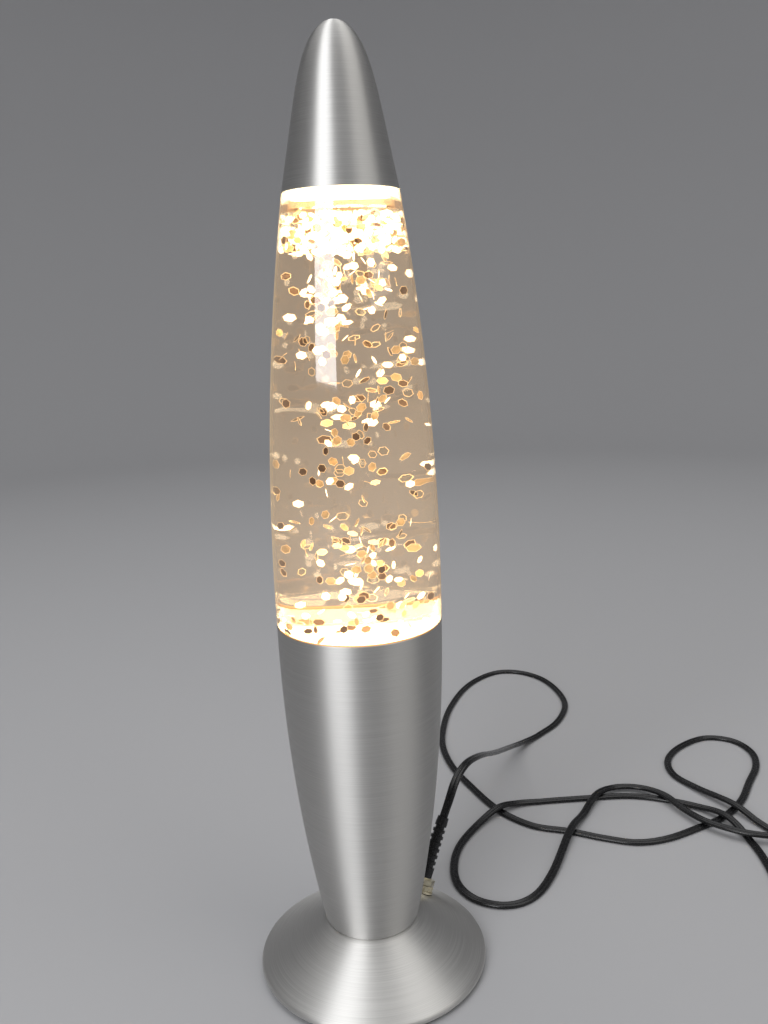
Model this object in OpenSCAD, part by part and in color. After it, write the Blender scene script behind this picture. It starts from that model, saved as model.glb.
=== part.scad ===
// Liquid motion lamp: spun metal foot and body, lift-off glitter bottle, bulb, cap and mains lead.
// Millimetres. Origin on the lamp axis at the table, +Z up, the viewer's side is -Y.

/* [Foot] */
// Outer radius of the foot rim
foot_r = 53; // [50:0.5:60]
// Height of the seat on top of the foot
foot_h = 24; // [22:0.5:34]
// Metal thickness of the foot skirt
skirt_wall = 1.2; // [0.8:0.1:1.6]
// Radius of the rolled foot rim
rim_r = 2; // [1.8:0.1:3]
// Width of the lip turned in under the foot
lip_w = 4.5; // [3.5:0.5:7]
// Thickness of the rubber ring under the foot
ring_h = 1.5; // [1:0.1:3]
// Thickness of the closing plate
plate_t = 1.2; // [0.8:0.1:2]
// Ledge of the foot around the body
skirt_ledge = 0.5; // [0.2:0.1:3]

/* [Body] */
// Radius of the body at its bottom
neck_r = 22; // [20:0.5:26]
// Height of the body shell
body_h = 145.5; // [140:0.5:170]
// Radius of the body at its mouth
mouth_r = 36; // [34.5:0.5:42]
// Bulge of the body side
body_bulge = 3.5; // [1:0.5:5]
// Metal thickness of the body
body_wall = 1; // [0.8:0.1:1.6]
// Radius of the bottom edge of the body
edge_r = 1.4; // [1:0.1:3]
// Width of the rolled bead in the mouth
bead_w = 2; // [1.8:0.1:3]
// Height of the rolled bead
bead_h = 3; // [2:0.5:6]

/* [Bottle] */
// Visible height of the bottle
bottle_h = 177.5; // [150:0.5:210]
// Radius of the bottle at the shoulder ledge
shoulder_r = 23.6; // [22.5:0.1:27]
// Bulge of the bottle side
bottle_bulge = 3.7; // [1:0.1:5]
// Glass thickness
glass_wall = 2.5; // [2:0.1:3.2]
// Thickness of the bottle floor
floor_t = 4; // [3:0.5:6]
// Depth of the heel that stands in the body
heel_h = 12; // [8:0.5:18]
// Gap around the heel
heel_gap = 0.5; // [0.3:0.1:1]
// Outer radius of the bottle neck
finish_r = 12.5; // [10:0.5:13]
// Height of the domed part of the shoulder
dome_h = 12; // [9:0.5:13]
// Height of the straight neck
finish_h = 13; // [12:0.5:14]
// Headspace between the liquid and the ledge
headspace = 7; // [7:0.5:20]
// Distance across the corners of a flake
flake_d = 3.4; // [2:0.1:3.6]
// Thickness of a flake
flake_t = 0.25; // [0.1:0.05:0.4]

/* [Cap] */
// Height of the top cap
cap_h = 63; // [60:0.5:80]
// Metal thickness of the cap
cap_wall = 1; // [0.8:0.1:1.2]
// Share of the radius lost between rim and tip
cap_taper = 0.52; // [0.45:0.01:0.54]
// Bluntness of the tip
cap_blunt = 7.5; // [6:0.5:10]

/* [Lamp holder and bulb] */
// Radius of the threaded centre tube
tube_r = 5; // [4.5:0.1:5.5]
// Bore radius of the centre tube
tube_bore_r = 3.4; // [3.2:0.1:3.8]
// Height of a hexagon nut
nut_h = 4; // [3:0.5:5]
// Distance across the flats of the nuts
nut_flats = 16; // [14:0.5:18]
// Thickness of a washer
washer_t = 1.2; // [0.8:0.1:1.6]
// Outer radius of the lamp holder
holder_r = 13.5; // [13:0.5:15]
// Height of the holder cap
holder_cap_h = 15; // [14:0.5:18]
// Height of the holder sleeve
sleeve_h = 26; // [24:0.5:28]
// Crest radius of the bulb's screw thread
screw_r = 6.9; // [6.8:0.05:7]
// Pitch of the screw thread
screw_pitch = 2.82; // [2.8:0.01:2.9]
// Largest radius of the bulb
bulb_r = 19.5; // [17:0.5:21]
// Length of the bulb from contact to crown
bulb_len = 67; // [64:0.5:70]

/* [Cord outlet] */
// Direction of the outlet around the lamp
outlet_turn = 44; // [30:1:60]
// Distance of the outlet from the axis
outlet_r = 33; // [32:0.5:38]
// Radius of the outlet nipple
nipple_r = 4; // [3.6:0.1:4.4]
// Distance across the flats of the outlet nuts
outlet_flats = 11; // [10.5:0.1:12]
// Length of the strain relief
boot_len = 30; // [26:1:40]

/* [Lead] */
// Width of the flat twin lead
lead_w = 4.6; // [4:0.1:5]
// Thickness of the flat twin lead
lead_t = 2.4; // [2.2:0.1:2.6]

/* [Inline switch] */
// Length of the switch housing
switch_len = 60; // [56:1:70]
// Width of the switch housing
switch_w = 24; // [22:0.5:28]
// Height of the switch housing
switch_ht = 16; // [15:0.5:20]
// Wall of the switch housing
switch_wall = 1.8; // [1.6:0.1:2.4]
// Length of the rocker
rocker_len = 15; // [13:0.5:17]
// Width of the rocker
rocker_w = 10; // [8:0.5:12]

/* [Plug] */
// Length of the plug body
plug_len = 36; // [33:0.5:40]
// Width of the plug body
plug_w = 26; // [25:0.5:30]
// Thickness of the plug body
plug_ht = 13.6; // [13:0.1:15]
// Radius of a plug pin
pin_r = 2; // [1.9:0.05:2.1]
// Length of a plug pin
pin_len = 19; // [18:0.5:20]
// Distance between the plug pins
pin_gap = 18.6; // [17.5:0.1:19]

/* [Fits] */
// Gap between a thread and its nut
thread_gap = 0.05; // [0.03:0.01:0.1]
// Gap of a loose insert
insert_gap = 0.15; // [0.1:0.05:0.3]
// Gap of a moving piece
move_gap = 0.35; // [0.3:0.05:0.5]

/* [Hidden] */
$fn = 96;
few = 8;
body_z = foot_h;
mouth_z = body_z + body_h;
ledge_z = mouth_z + bottle_h;
tip_z = ledge_z + cap_h;

// Points of an arc from a to b whose middle stands out by bulge
function arc_at(a, b, bulge, t) = let(d = b - a, side = [d[1], -d[0]] / norm(d))
  a + d * t + side * bulge * 4 * t * (1 - t);
function arc_line(a, b, bulge, n) = [for (i = [0:n]) arc_at(a, b, bulge, i / n)];
// Points of a circle from angle a to angle b
function turn_line(c, r, a, b, n) = [for (i = [0:n]) let(w = a + (b - a) * i / n) c + r * [cos(w), sin(w)]];
function back(list) = [for (i = [len(list) - 1:-1:0]) list[i]];
// Radius of a profile at height z
function radius_at(line, z) = lookup(z, [for (p = line) [p[1], p[0]]]);

// Foot skirt
skirt_top_r = neck_r + skirt_ledge;
rim_c = [foot_r - rim_r, ring_h + rim_r];
rim_to_top = [skirt_top_r, foot_h] - rim_c;
cone_turn = atan2(rim_to_top[1], rim_to_top[0]) - acos(rim_r / norm(rim_to_top));
cone_n = [cos(cone_turn), sin(cone_turn)];
cone_low = rim_c + rim_r * cone_n;
cone_low_in = rim_c + (rim_r - skirt_wall) * cone_n;
function cone_z(r) = cone_low[1] + (cone_low[0] - r) * cone_n[0] / cone_n[1];
function cone_in_r(z) = cone_low_in[0] - (z - cone_low_in[1]) * cone_n[1] / cone_n[0];
tube_hole_r = tube_r + insert_gap;
lip_in_r = foot_r - rim_r - lip_w;
ring_side = 0.4;
plate_z = ring_h + skirt_wall;
plate_r = cone_low_in[0] - plate_t - insert_gap;

// Body shell
body_side = arc_line([neck_r, body_z + edge_r], [mouth_r, mouth_z], body_bulge, 24);
body_in_low = [neck_r - body_wall, body_z + edge_r];
body_in = arc_line(body_in_low, [mouth_r - body_wall, mouth_z], body_bulge, 24);
bead_r = mouth_r - bead_w;

// Bottle
heel_r = bead_r - heel_gap;
heel_z = mouth_z - heel_h;
heel_round = 3;
step_round = 0.8;
plug_step = 1.5;
cap_in_r = shoulder_r - cap_wall;
plug_r = cap_in_r - 1;
neck_z = ledge_z + dome_h;
neck_top_z = neck_z + finish_h;
bottle_side = arc_line([mouth_r, mouth_z + step_round], [shoulder_r, ledge_z], bottle_bulge, 32);
dome_bulge = 2;
dome_side = arc_line([plug_r, ledge_z + plug_step], [finish_r, neck_z], dome_bulge, 10);
cavity_r = heel_r - glass_wall;
cavity_z = heel_z + floor_t;
cavity_low = [mouth_r - glass_wall, mouth_z + glass_wall];
cavity_top = [shoulder_r - glass_wall, ledge_z - glass_wall];
cavity_side = arc_line(cavity_low, cavity_top, bottle_bulge, 32);
bore_r = finish_r - glass_wall;
cavity_dome = arc_line([plug_r - glass_wall, ledge_z], [bore_r, neck_z - 1], dome_bulge, 10);
liquid_z = ledge_z - headspace;

// Closure
closure_wall = 1.5;
liner_t = 1;
closure_gap = 0.3;
closure_r = finish_r + closure_gap + closure_wall;
closure_low_z = neck_z + 1;
closure_top_z = neck_top_z + liner_t + closure_wall;

// Top cap
function cap_at(r, h, t) = [r * (1 - cap_taper * t) * sqrt(1 - pow(t, cap_blunt)), ledge_z + h * t];
function cap_line(r, h) = [for (i = [0:28]) cap_at(r, h, sin(90 * i / 28))];

// Lamp holder stack
low_washer_z = foot_h - skirt_wall - washer_t;
low_nut_z = low_washer_z - nut_h;
up_washer_z = body_z + body_wall;
up_nut_z = up_washer_z + washer_t;
holder_z = up_nut_z + nut_h;
holder_floor = 3;
boss_h = 3.5;
tube_z = low_nut_z - 1.5;
tube_top_z = holder_z + holder_floor + boss_h;
nut_r = nut_flats / 2 / cos(30);
washer_r = nut_r + 0.6;
cap_shell = 1.5;
block_z = holder_z + holder_cap_h;
block_flange = 2;
block_low = 4;
block_top_z = block_z + block_flange + 3;
shell_in_r = screw_r + move_gap;
shell_wall = 0.4;
shell_r = shell_in_r + shell_wall;
shell_z = block_z + block_flange;
shell_h = sleeve_h - 3;
sleeve_bore = shell_r + insert_gap;
spring_t = 0.5;
spring_z = block_top_z + 1.5;
screw_place = 6.2;
screw_head_r = 1.9;

// Bulb stack
tip_gap = 0.3;
bulb_z = spring_z + spring_t + tip_gap;
tip_h = 1.2;
tip_r = 2.6;
insulator_h = 3;
base_z = bulb_z + tip_h + insulator_h;
base_len = screw_pitch * 5 + 3;
base_r = screw_r - 0.7;
glass_z = base_z + base_len;
bulb_top_z = bulb_z + bulb_len;
crown_h = 8;
wide_z = bulb_top_z - crown_h;
bulb_glass = 0.7;
bulb_neck_r = base_r - 0.3;
bulb_side = concat([[bulb_neck_r, glass_z], [9.5, glass_z + 3.5]],
  arc_line([10, glass_z + 7], [bulb_r, wide_z], 1.2, 12));
bulb_crown = [for (i = [1:10]) [bulb_r * cos(9 * i), wide_z + crown_h * sin(9 * i)]];
stem_top_z = wide_z - 14;

// Cord outlet: a frame whose Z runs along the foot's outward normal
outlet_dir = [cos(outlet_turn), sin(outlet_turn), 0];
outlet_p = outlet_r * outlet_dir + [0, 0, cone_z(outlet_r)];
outlet_n = cone_n[0] * outlet_dir + [0, 0, cone_n[1]];
outlet_tilt = 90 - cone_turn;
nipple_in = 5;
outlet_washer_t = 1;
outlet_nut_h = 2.6;
outlet_nut_r = outlet_flats / 2 / cos(30);
outlet_washer_r = outlet_nut_r + 0.3;
nut_step = 0.3;
outlet_top = outlet_washer_t + 2 * outlet_nut_h + nut_step;
nipple_out = outlet_top + 0.6;
nipple_bore_r = nipple_r - 1;
in_nut_low = skirt_wall + 0.9;
boot_r = nipple_r - 0.1;
boot_end_r = lead_w / 2 + 0.5;
boot_exit = outlet_p + (nipple_out + boot_len) * outlet_n;

// Leads inside the foot and up the centre tube
wire_r = 0.9;
wire_side = 1.5;
wire_start = outlet_p - (nipple_in + in_nut_low - 1) * outlet_n;
wire_low_z = (plate_z + plate_t + tube_z) / 2;
terminal_z = block_z - block_low;
wire_end = screw_place - screw_head_r - wire_r - 0.25;
across = [-sin(outlet_turn), cos(outlet_turn), 0];
function wire_route(side) = [
  wire_start + side * 1.2 * across,
  wire_start - 2 * outlet_n + side * 1.2 * across,
  12 * outlet_dir + side * 1.8 * across + [0, 0, wire_low_z + 0.5],
  4.5 * outlet_dir + side * 1.6 * across + [0, 0, wire_low_z],
  0.8 * outlet_dir + side * wire_side * across + [0, 0, wire_low_z + 3],
  side * wire_side * across + [0, 0, tube_z + 3],
  side * wire_side * across + [0, 0, (tube_z + tube_top_z) / 2],
  side * wire_side * across + [0, 0, tube_top_z - 1],
  side * (wire_side + 0.6) * across + [0, 0, tube_top_z + 1],
  side * wire_end * across + [0, 0, terminal_z - 1.4],
  side * wire_end * across + [0, 0, terminal_z]];

// Lead from the strain relief to the switch, then from the switch to the plug
lie = lead_t / 2;
over = lead_t * 1.5 + 0.6;
switch_p = [244, 18];
switch_mid_z = 4.2;
switch_back_y = switch_p[1] + switch_len / 2;
switch_front_y = switch_p[1] - switch_len / 2;
plug_p = [268, 66];
plug_mid_z = plug_ht / 2;
tail_len = 20;
lamp_route = [boot_exit, boot_exit + 8 * outlet_n, [44.8, 45, 62.1], [48.8, 51.2, 65.7], [53.7, 59.1, 66.3],
  [59.6, 69.7, 63.4], [65.6, 83.8, 57.3], [71.8, 102.5, 47.9], [78.7, 124, 37.4], [86, 147, 26.6],
  [93.5, 169, 16.6], [101.7, 188.5, 8.2], [111.4, 203.2, 3.2], [123, 215.5, lie],
  [140, 234, lie], [152, 260, lie], [153, 286, lie],
  [146, 312, lie], [132, 328, lie], [114, 332, lie], [96, 321, lie], [80, 300, lie], [66, 268, lie],
  [58, 238, lie], [54, 208, lie], [57, 178, lie], [66, 150, lie], [79, 120, lie], [96, 101, lie],
  [116, 93, lie], [134, 84, lie], [151, 78, lie], [169, 80, lie], [190, 89, lie], [209, 99, lie],
  [226, 115, lie], [240, 136, lie], [253, 156, lie], [258, 175, lie], [252, 192, lie],
  [235, 198, lie], [214, 187, lie], [200, 170, lie], [197, 151, lie], [205, 132, 2],
  [218, 108, over], [226, 90, 2], [234, 75, lie], [241, 63, 2.2],
  [switch_p[0], switch_back_y + 5, switch_mid_z - 0.4], [switch_p[0], switch_back_y, switch_mid_z]];
plug_route = [[switch_p[0], switch_front_y, switch_mid_z],
  [switch_p[0], switch_front_y - 6, switch_mid_z - 0.6], [244, -27, 2], [238, -41, lie],
  [224, -47, lie], [210, -41, lie], [204, -27, lie], [207, 10, lie], [213, 46, lie], [214, 72, lie],
  [209, 95, over], [197, 111, 2], [180, 122, lie], [160, 128, lie], [134, 128, lie],
  [106, 127, lie], [92, 125, 2.2], [79, 118, over], [65, 105, 2], [52, 86, lie], [46, 67, lie],
  [46, 49, lie], [54, 35, lie], [69, 29, lie], [84, 35, lie], [98, 54, 2], [116, 90, over],
  [128, 108, 2.8], [141, 127, over], [155, 136, 3], [170, 134, 3], [181, 122, over],
  [188, 104, 3.8], [196, 89, over + 0.4], [211, 76, over + 1], [229, 70, over + 0.8],
  [plug_p[0] - tail_len - 7, plug_p[1] + 0.5, plug_mid_z - 1],
  [plug_p[0] - tail_len, plug_p[1], plug_mid_z]];

// Inline switch
split_z = switch_ht * 0.45;
switch_round = 4;
well_len = rocker_len + 8 * move_gap;
well_w = rocker_w + 2 * move_gap;
rocker_z = switch_ht - 2.6;
trunnion_r = 1.5;
trunnion_gap = 0.06;
cheek_t = 2.4;
rocker_crest_r = 26;
rocker_depth = 4.2;
rocker_rest = 8;
screw_y = switch_len / 2 - 8;
shaft_r = 1.2;
head_r = 2.3;
post_r = 3.2;

// Plug pins
pin_root = 10;
sleeve_len = 10;
sleeve_t = 0.3;
pin_core_r = pin_r - sleeve_t;
pin_tip = 1;

module spin(points) {
  rotate_extrude() polygon(points);
}

module washer(out_r, in_r, t) {
  difference() {
    cylinder(r = out_r, h = t);
    translate([0, 0, -1]) cylinder(r = in_r, h = t + 2);
  }
}

module hex_nut(corner_r, in_r, h) {
  difference() {
    cylinder(r = corner_r, h = h, $fn = 6);
    translate([0, 0, -1]) cylinder(r = in_r, h = h + 2);
  }
}

module at_outlet() {
  translate(outlet_p) rotate([0, outlet_tilt, outlet_turn]) children();
}

module at_switch() {
  translate([switch_p[0], switch_p[1], 0]) children();
}

module at_plug() {
  translate([plug_p[0], plug_p[1], plug_mid_z]) children();
}

// A tube of given half width and half thickness along a route, its flat side level or along a given side
function lead_dir(route, i) = let(n = len(route) - 1,
  d = route[min(i + 1, n)] - route[max(i - 1, 0)]) d / norm(d);
function lead_side(d, given) =
  let(s = is_undef(given) ? [d[1], -d[0], 0] : given - d * (given * d)) s / norm(s);
function lead_ring(route, i, w, t, given) =
  let(d = lead_dir(route, i), s = lead_side(d, given), u = cross(s, d))
  [for (k = [0:few - 1]) let(a = 360 * (k + 0.5) / few)
    route[i] + s * w * cos(a) / cos(180 / few) + u * t * sin(a) / cos(180 / few)];
module swept(route, w, t, given) {
  rings = len(route);
  points = [for (i = [0:rings - 1]) each lead_ring(route, i, w, t, given)];
  sides = [for (i = [0:rings - 2], k = [0:few - 1]) let(a = i * few + k, b = i * few + (k + 1) % few)
    each [[a, b, b + few], [a, b + few, a + few]]];
  start = [[for (k = [few - 1:-1:0]) k]];
  end = [[for (k = [0:few - 1]) (rings - 1) * few + k]];
  polyhedron(points = points, faces = concat(sides, start, end));
}

module foot_ring() {
  color("dimgray") spin([[lip_in_r + ring_side, 0], [rim_c[0] - ring_side, 0],
    [rim_c[0] - ring_side, ring_h], [lip_in_r + ring_side, ring_h]]);
}

module closing_plate() {
  color("black") translate([0, 0, plate_z]) cylinder(r = plate_r, h = plate_t);
}

module foot_skirt() {
  color("silver") difference() {
    spin(concat([[lip_in_r, ring_h]],
      turn_line(rim_c, rim_r, -90, cone_turn, 10),
      [[skirt_top_r, foot_h], [tube_hole_r, foot_h], [tube_hole_r, foot_h - skirt_wall],
        [cone_in_r(foot_h - skirt_wall), foot_h - skirt_wall]],
      turn_line(rim_c, rim_r - skirt_wall, cone_turn, -90, 6),
      [[lip_in_r, ring_h + skirt_wall]]));
    at_outlet() translate([0, 0, -6]) cylinder(r = nipple_r + insert_gap, h = 12);
  }
}

module body_shell() {
  color("silver") spin(concat([[tube_hole_r, body_z]],
    turn_line([neck_r - edge_r, body_z + edge_r], edge_r, -90, 0, 6),
    [for (i = [1:24]) body_side[i]],
    [[bead_r, mouth_z], [bead_r, mouth_z - bead_h],
      [radius_at(body_in, mouth_z - bead_h), mouth_z - bead_h]],
    back([for (p = body_in) if (p[1] < mouth_z - bead_h) p]),
    [[neck_r - edge_r - body_wall * 0.4, body_z + body_wall], [tube_hole_r, body_z + body_wall]]));
}

module centre_tube() {
  color("goldenrod") translate([0, 0, tube_z]) washer(tube_r, tube_bore_r, tube_top_z - tube_z);
}

module tube_washers() {
  color("lightgray") for (z = [low_washer_z, up_washer_z])
    translate([0, 0, z]) washer(washer_r, tube_r + insert_gap, washer_t);
}

module tube_nuts() {
  color("lightgray") for (z = [low_nut_z, up_nut_z])
    translate([0, 0, z]) hex_nut(nut_r, tube_r + thread_gap, nut_h);
}

module holder_cap() {
  color("ivory") spin(concat(
    [[tube_r + thread_gap, holder_z], [holder_r - 3, holder_z]],
    turn_line([holder_r - 3, holder_z + 3], 3, -90, 0, 6),
    [[holder_r, block_z], [holder_r - cap_shell, block_z],
      [holder_r - cap_shell, holder_z + holder_floor], [tube_r + 2.4, holder_z + holder_floor],
      [tube_r + 2.4, tube_top_z], [tube_r + thread_gap, tube_top_z]]));
}

module holder_sleeve() {
  color("ivory") spin([[sleeve_bore, shell_z], [holder_r, shell_z], [holder_r, shell_z + sleeve_h - 1],
    [holder_r - 1, shell_z + sleeve_h], [sleeve_bore, shell_z + sleeve_h]]);
}

module terminal_block() {
  color("tan") difference() {
    union() {
      translate([0, 0, block_z]) cylinder(r = holder_r, h = block_flange);
      translate([0, 0, block_z - block_low]) cylinder(r = holder_r - cap_shell - insert_gap, h = block_low);
      translate([0, 0, shell_z]) cylinder(r = shell_in_r - 1, h = block_top_z - shell_z);
    }
    for (s = [-1, 1]) translate(s * screw_place * across + [0, 0, block_z - block_low - 1])
      cylinder(r = shaft_r + thread_gap, h = block_low + 0.5);
  }
}

module screw_shell() {
  color("gold") translate([0, 0, shell_z]) washer(shell_r, shell_in_r, shell_h);
}

module contact_spring() {
  color("gold") {
    translate([-3, -1.5, block_top_z]) cube([1, 3, spring_z - block_top_z]);
    translate([-3, -1.5, spring_z]) cube([5.5, 3, spring_t]);
  }
}

module terminal_screws() {
  color("gold") for (s = [-1, 1]) translate(s * screw_place * across) difference() {
    union() {
      translate([0, 0, terminal_z - 1.4]) cylinder(r = screw_head_r, h = 1.4);
      translate([0, 0, terminal_z]) cylinder(r = shaft_r, h = block_low - 1);
    }
    translate([-screw_head_r - 1, -0.3, terminal_z - 2]) cube([2 * screw_head_r + 2, 0.6, 1.2]);
  }
}

module bulb_tip() {
  color("silver") spin([[0, bulb_z], [tip_r - 0.6, bulb_z], [tip_r, bulb_z + tip_h], [0, bulb_z + tip_h]]);
}

module bulb_insulator() {
  color("black") translate([0, 0, bulb_z + tip_h + thread_gap])
    cylinder(r1 = tip_r + 0.4, r2 = base_r - 0.5, h = insulator_h - thread_gap);
}

module bulb_base() {
  bottom = 0.5;
  color("gold") spin(concat([[0, base_z], [base_r - 0.5, base_z], [base_r, base_z + 0.6]],
    [for (i = [0:4]) each [
      [base_r, base_z + 1 + i * screw_pitch],
      [screw_r - 0.15, base_z + 1 + (i + 0.35) * screw_pitch],
      [screw_r, base_z + 1 + (i + 0.5) * screw_pitch],
      [screw_r - 0.15, base_z + 1 + (i + 0.65) * screw_pitch]]],
    [[base_r, base_z + 1 + 5 * screw_pitch], [base_r, glass_z], [base_r - 0.3, glass_z],
      [base_r - 0.3, base_z + bottom], [0, base_z + bottom]]));
}

module bulb_glass_envelope() {
  inside = [for (p = bulb_side) [p[0] - bulb_glass, p[1]]];
  inside_crown = [for (i = [1:10])
    [(bulb_r - bulb_glass) * cos(9 * i), wide_z + (crown_h - bulb_glass) * sin(9 * i)]];
  color("white", 0.6) spin(concat(bulb_side, bulb_crown, back(inside_crown), back(inside)));
}

module bulb_stem() {
  color("white", 0.5) {
    translate([0, 0, base_z + 0.5]) cylinder(r = 2, h = stem_top_z - 8 - base_z - 0.5);
    for (s = [-1, 1]) translate([s * 1.2, 0, stem_top_z - 8]) cylinder(r = 0.35, h = 8);
  }
}

module bulb_filament() {
  turn_r = 0.7;
  color("gray") translate([0, 0, stem_top_z + turn_r]) rotate([0, 90, 0])
    translate([0, 0, -5]) difference() {
      cylinder(r = turn_r, h = 10);
      translate([0, 0, -1]) cylinder(r = turn_r - 0.25, h = 12);
    }
}

module bottle() {
  color("white", 0.3) spin(concat(
    [[0, heel_z]],
    turn_line([heel_r - heel_round, heel_z + heel_round], heel_round, -90, 0, 6),
    [[heel_r, mouth_z]],
    turn_line([mouth_r - step_round, mouth_z + step_round], step_round, -90, 0, 4),
    [for (i = [1:32]) bottle_side[i]],
    [[plug_r, ledge_z]],
    dome_side,
    [[finish_r, neck_top_z], [bore_r, neck_top_z]],
    back(cavity_dome),
    back(cavity_side),
    [[cavity_r, mouth_z]],
    turn_line([cavity_r - heel_round, cavity_z + heel_round], heel_round, 0, -90, 6),
    [[0, cavity_z]]));
}

module liquid() {
  g = insert_gap;
  color("khaki", 0.3) spin(concat([[0, cavity_z + g]],
    turn_line([cavity_r - g - heel_round, cavity_z + g + heel_round], heel_round, -90, 0, 6),
    [[cavity_r - g, mouth_z]],
    [for (p = cavity_side) if (p[1] < liquid_z - 1) [p[0] - g, p[1]]],
    [[radius_at(cavity_side, liquid_z) - g, liquid_z], [0, liquid_z]]));
}

module glitter_flakes() {
  count = 168;
  low = mouth_z + 6;
  high = liquid_z - 3;
  color("gold") for (i = [0:count - 1]) {
    z = low + (high - low) * (i + 0.5) / count;
    reach = radius_at(cavity_side, z) - flake_d;
    share = (i * 0.618034) % 1;
    r = 6 + (reach - 6) * sqrt(share);
    rotate([0, 0, i * 137.508]) translate([r, 0, z])
      rotate([35 + 110 * ((i * 0.754878) % 1), 60 * ((i * 0.569840) % 1), i * 47])
      translate([0, 0, -flake_t / 2]) cylinder(d = flake_d, h = flake_t, $fn = 6);
  }
}

module bottle_closure() {
  knurls = 24;
  color("whitesmoke") difference() {
    spin([[finish_r + closure_gap, closure_low_z], [closure_r, closure_low_z],
      [closure_r, closure_top_z - 0.8], [closure_r - 0.8, closure_top_z], [0, closure_top_z],
      [0, closure_top_z - closure_wall], [finish_r + closure_gap, closure_top_z - closure_wall]]);
    for (i = [0:knurls - 1])
      rotate([0, 0, 360 * i / knurls]) translate([closure_r + 0.5, 0, closure_low_z - 1])
      cylinder(r = 0.9, h = closure_top_z - closure_low_z - 1);
  }
}

module closure_liner() {
  color("white") translate([0, 0, neck_top_z]) cylinder(r = finish_r, h = liner_t);
}

module top_cap() {
  color("silver") spin(concat(cap_line(shoulder_r, cap_h), back(cap_line(cap_in_r, cap_h - cap_wall))));
}

module outlet_nipple() {
  color("khaki") at_outlet() difference() {
    translate([0, 0, -nipple_in - in_nut_low + 1])
      cylinder(r = nipple_r, h = nipple_in + in_nut_low - 1 + nipple_out);
    translate([0, 0, -nipple_in - in_nut_low])
      cylinder(r = nipple_bore_r, h = nipple_in + in_nut_low + nipple_out + 1);
  }
}

module outlet_washer() {
  color("khaki") at_outlet() washer(outlet_washer_r, nipple_r + insert_gap, outlet_washer_t);
}

module outlet_nuts() {
  first = outlet_washer_t;
  color("khaki") at_outlet() {
    translate([0, 0, first]) hex_nut(outlet_nut_r, nipple_r + thread_gap, outlet_nut_h);
    translate([0, 0, first + outlet_nut_h + nut_step]) rotate([0, 0, 20])
      hex_nut(outlet_nut_r, nipple_r + thread_gap, outlet_nut_h);
    translate([0, 0, -in_nut_low - outlet_nut_h]) hex_nut(outlet_nut_r, nipple_r + thread_gap, outlet_nut_h);
  }
}

module strain_relief() {
  ribs = 7;
  pitch = (boot_len - 8) / ribs;
  slope = (boot_end_r - boot_r) / boot_len;
  color("black") at_outlet() translate([0, 0, nipple_out]) spin(concat([[0, 0], [boot_r, 0], [boot_r, 5]],
    [for (i = [0:ribs - 1]) let(z = 5 + i * pitch, r = boot_r + slope * z) each [
      [r - 0.7, z + 0.2], [r - 0.7, z + pitch * 0.45], [r, z + pitch * 0.5], [r, z + pitch - 0.1]]],
    [[boot_end_r, boot_len], [0, boot_len]]));
}

module live_wire() {
  color("saddlebrown") swept(wire_route(1), wire_r, wire_r, across);
}

module neutral_wire() {
  color("steelblue") swept(wire_route(-1), wire_r, wire_r, across);
}

module lamp_lead() {
  color("black") swept(lamp_route, lead_w / 2, lead_t / 2);
}

module plug_lead() {
  color("black") swept(plug_route, lead_w / 2, lead_t / 2);
}

module switch_plan(w, l, round_r) {
  square([w - 2 * round_r, l], center = true);
  square([w, l - 2 * round_r], center = true);
  for (x = [-1, 1], y = [-1, 1])
    translate([x * (w / 2 - round_r), y * (l / 2 - round_r)]) circle(r = round_r);
}

module switch_box(z, h) {
  translate([0, 0, z]) linear_extrude(height = h) switch_plan(switch_w, switch_len, switch_round);
}

module switch_hollow(z, h) {
  translate([0, 0, z]) linear_extrude(height = h)
    switch_plan(switch_w - 2 * switch_wall, switch_len - 2 * switch_wall, switch_round - switch_wall);
}

module switch_lower() {
  color("black") at_switch() difference() {
    union() {
      difference() {
        switch_box(0, split_z);
        switch_hollow(switch_wall, split_z);
      }
      for (s = [-1, 1])
        translate([0, s * screw_y, switch_wall / 2]) cylinder(r = post_r, h = split_z - switch_wall / 2);
    }
    for (s = [-1, 1]) translate([0, s * screw_y, -1]) {
      cylinder(r = shaft_r + insert_gap, h = split_z + 2);
      cylinder(r = head_r + insert_gap, h = 2.6);
    }
  }
}

module switch_upper() {
  top = switch_ht - split_z;
  color("black") at_switch() difference() {
    union() {
      difference() {
        switch_box(split_z, top);
        switch_hollow(split_z - 1, top - switch_wall + 1);
      }
      for (s = [-1, 1]) translate([0, s * screw_y, split_z]) cylinder(r = post_r, h = top - switch_wall / 2);
      for (s = [-1, 1]) translate([s * (well_w / 2 + cheek_t / 2), 0, (rocker_z + switch_ht) / 2 - 1.4])
        cube([cheek_t, 8, switch_ht - rocker_z + 2], center = true);
    }
    translate([-well_w / 2, -well_len / 2, split_z - 1]) cube([well_w, well_len, top + 2]);
    translate([0, 0, rocker_z]) rotate([0, 90, 0])
      cylinder(r = trunnion_r + trunnion_gap, h = well_w + 2 * cheek_t - 1, center = true);
    for (s = [-1, 1]) translate([0, s * screw_y, split_z - 1]) cylinder(r = shaft_r + thread_gap, h = 6);
  }
}

module switch_rocker() {
  color("black") at_switch() translate([0, 0, rocker_z]) rotate([rocker_rest, 0, 0]) {
    rotate([0, 90, 0]) cylinder(r = trunnion_r, h = well_w + cheek_t, center = true);
    rotate([0, 90, 0]) linear_extrude(height = rocker_w, center = true) difference() {
      translate([-1, 0]) square([rocker_depth * 2, rocker_len], center = true);
      translate([-rocker_depth - rocker_crest_r + 0.8, 0]) circle(r = rocker_crest_r);
    }
  }
}

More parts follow.
